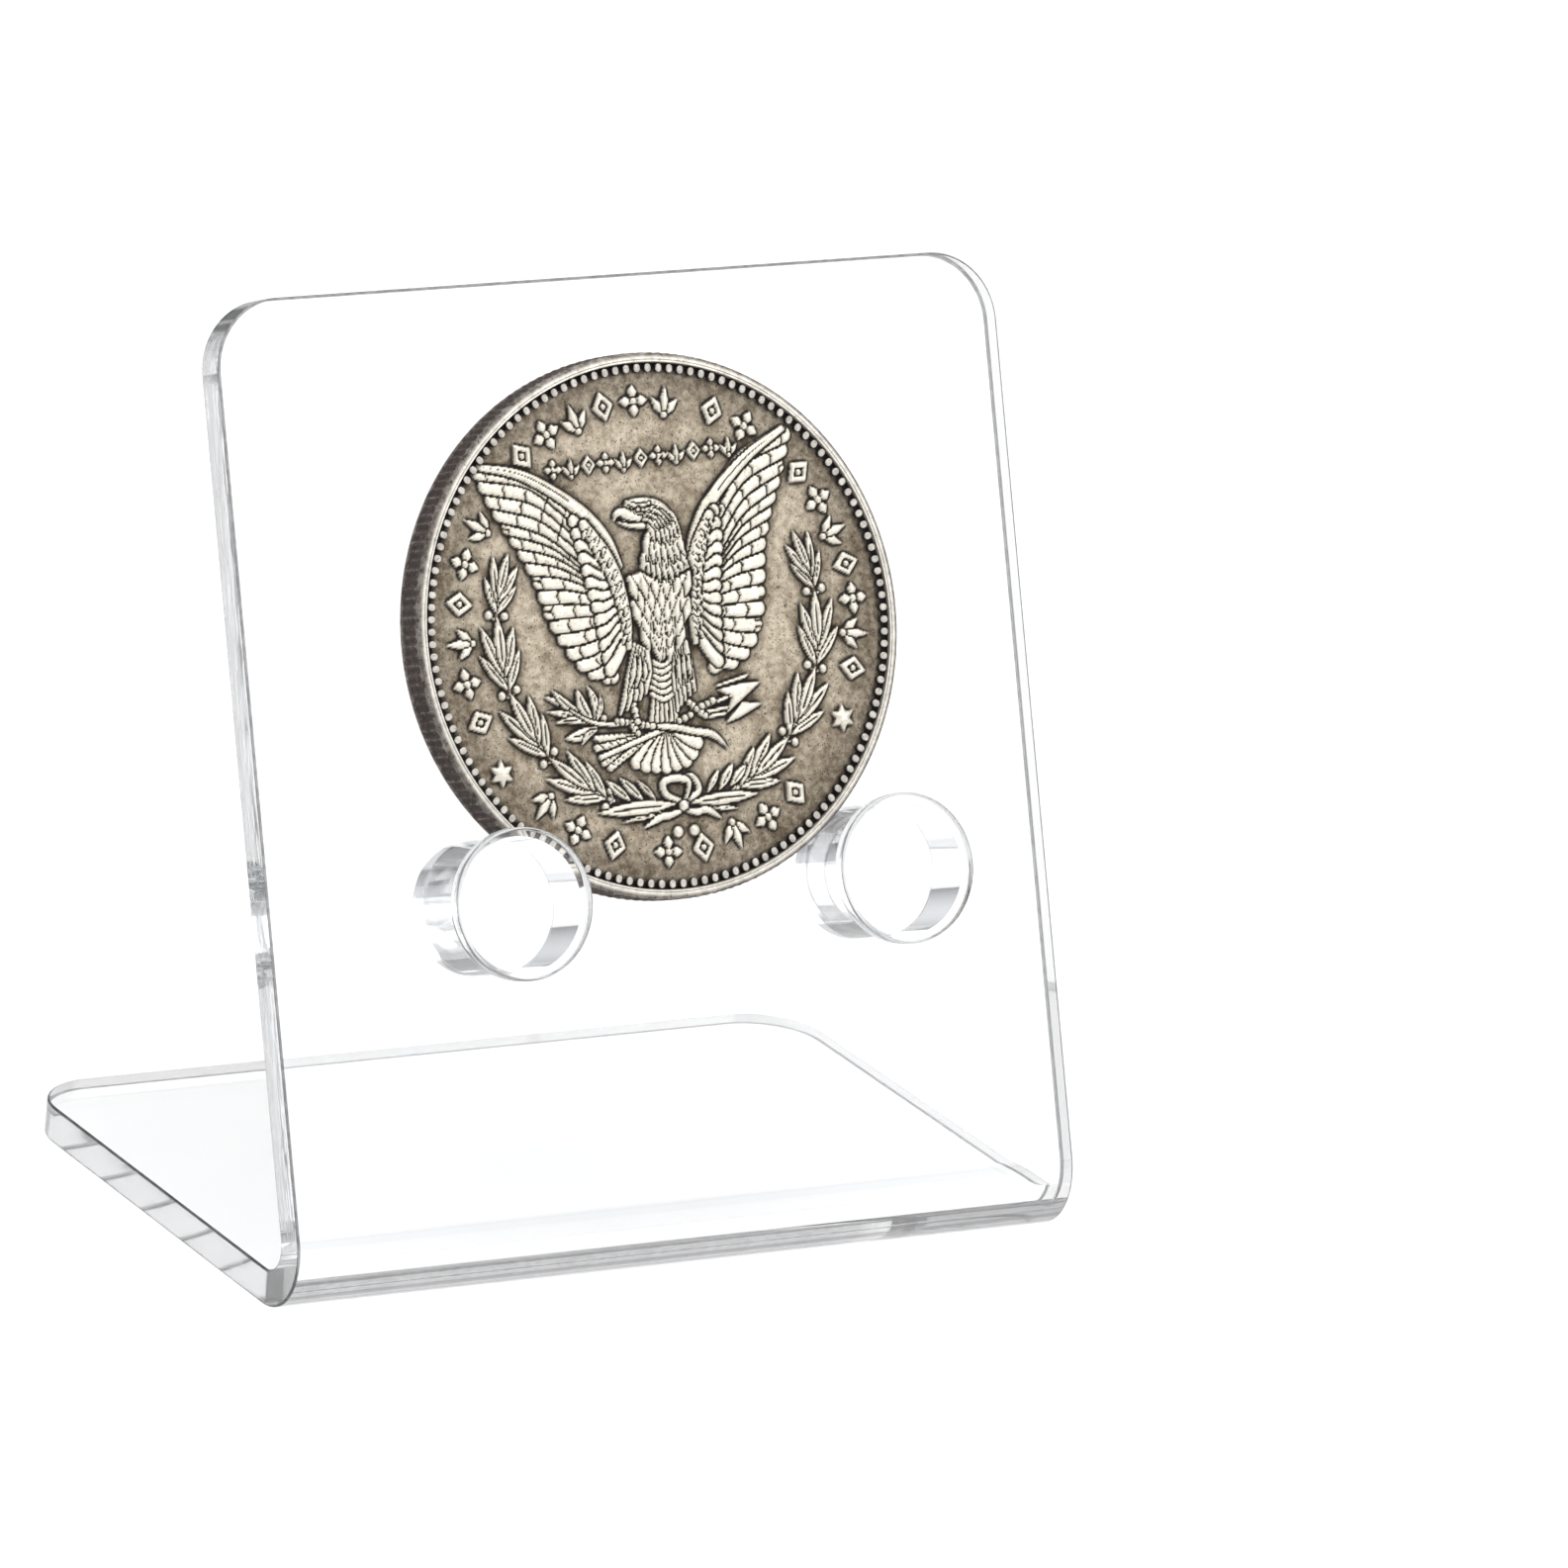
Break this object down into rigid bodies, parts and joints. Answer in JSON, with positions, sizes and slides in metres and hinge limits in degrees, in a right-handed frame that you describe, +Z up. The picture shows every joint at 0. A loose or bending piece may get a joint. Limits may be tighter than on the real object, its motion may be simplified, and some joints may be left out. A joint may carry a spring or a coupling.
{
  "type": "coin display stand",
  "caption": "Clear acrylic easel: one sheet bent into a leaning panel and a flat foot, with headed pegs on its face that cradle a round coin.",
  "frame": {"origin": "centre of the stand's footprint, on the surface that it stands on", "axes": "+X to the stand's right seen from the front, +Y back along the foot, +Z up; the panel leans back towards +Y"},
  "size_m": [0.062, 0.043, 0.0663],
  "materials": {
    "clear_acrylic": "polished",
    "turned_acrylic": "polished",
    "clear_cement": "gloss",
    "antique_silver": "satin"
  },
  "bodies": {
    "stand": {"bent_sheet": "clear_acrylic", "left_peg": "turned_acrylic", "right_peg": "turned_acrylic", "left_peg_bond": "clear_cement", "right_peg_bond": "clear_cement"},
    "coin": {"coin": "antique_silver"}
  },
  "joints": [
    {"name": "coin_lift", "type": "slide", "parent": "stand", "child": "coin", "axis": [0, 0.3649, 0.9311], "range_m": [0, 0.045]}
  ]
}
